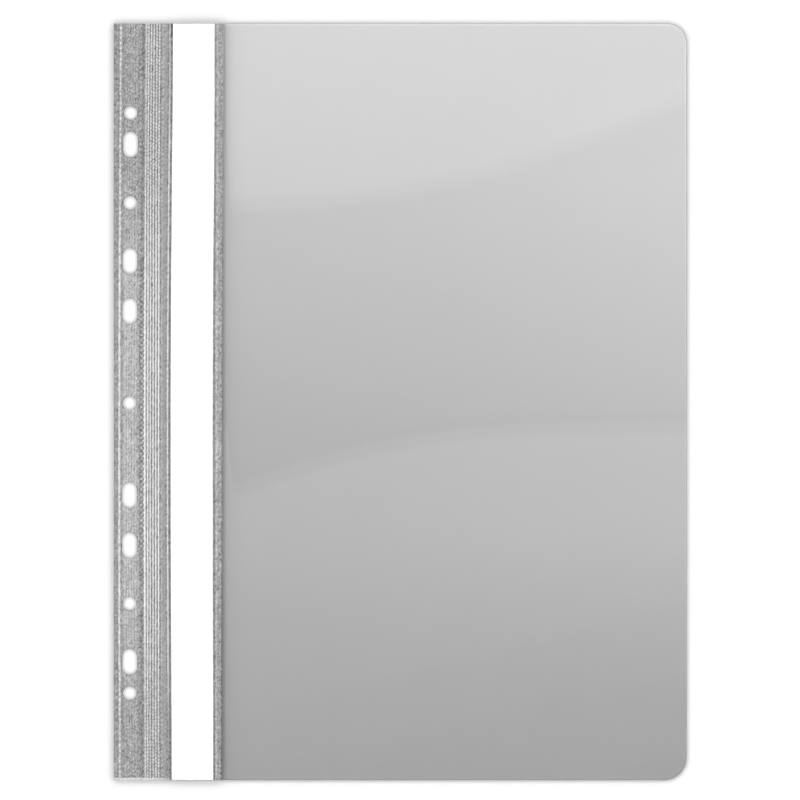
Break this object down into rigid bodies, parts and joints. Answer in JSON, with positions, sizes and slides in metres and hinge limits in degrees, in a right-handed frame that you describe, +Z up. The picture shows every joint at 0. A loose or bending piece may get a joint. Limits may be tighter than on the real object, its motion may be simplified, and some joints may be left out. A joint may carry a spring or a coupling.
{
  "type": "perforated report file folder",
  "caption": "A4 report file: grey back cover, clear film front cover, title strip along the spine and an embossed margin punched with round and oblong filing holes.",
  "frame": {"origin": "middle of the underside, on the surface the file lies on", "axes": "+Z up out of the front cover, +X from the punched spine edge to the opening edge, +Y up the page"},
  "size_m": [0.237, 0.313, 0.0018],
  "materials": {
    "grey_pvc": "fine grained, satin",
    "clear_film": "clear, gloss",
    "white_paper": "matt",
    "tinned_steel": "bright tinned, satin"
  },
  "bodies": {
    "back": {"back_cover": "grey_pvc", "binding_margin": "grey_pvc", "fastener_prongs": "tinned_steel", "fastener_bar": "tinned_steel"},
    "front": {"title_flap": "grey_pvc", "title_strip": "white_paper", "front_cover": "clear_film"}
  },
  "joints": [
    {"name": "front_cover_hinge", "type": "hinge", "parent": "back", "child": "front", "pos_m": [-0.0971, 0, 0.00127], "axis": [0, -1, 0], "range_deg": [0, 180]}
  ]
}
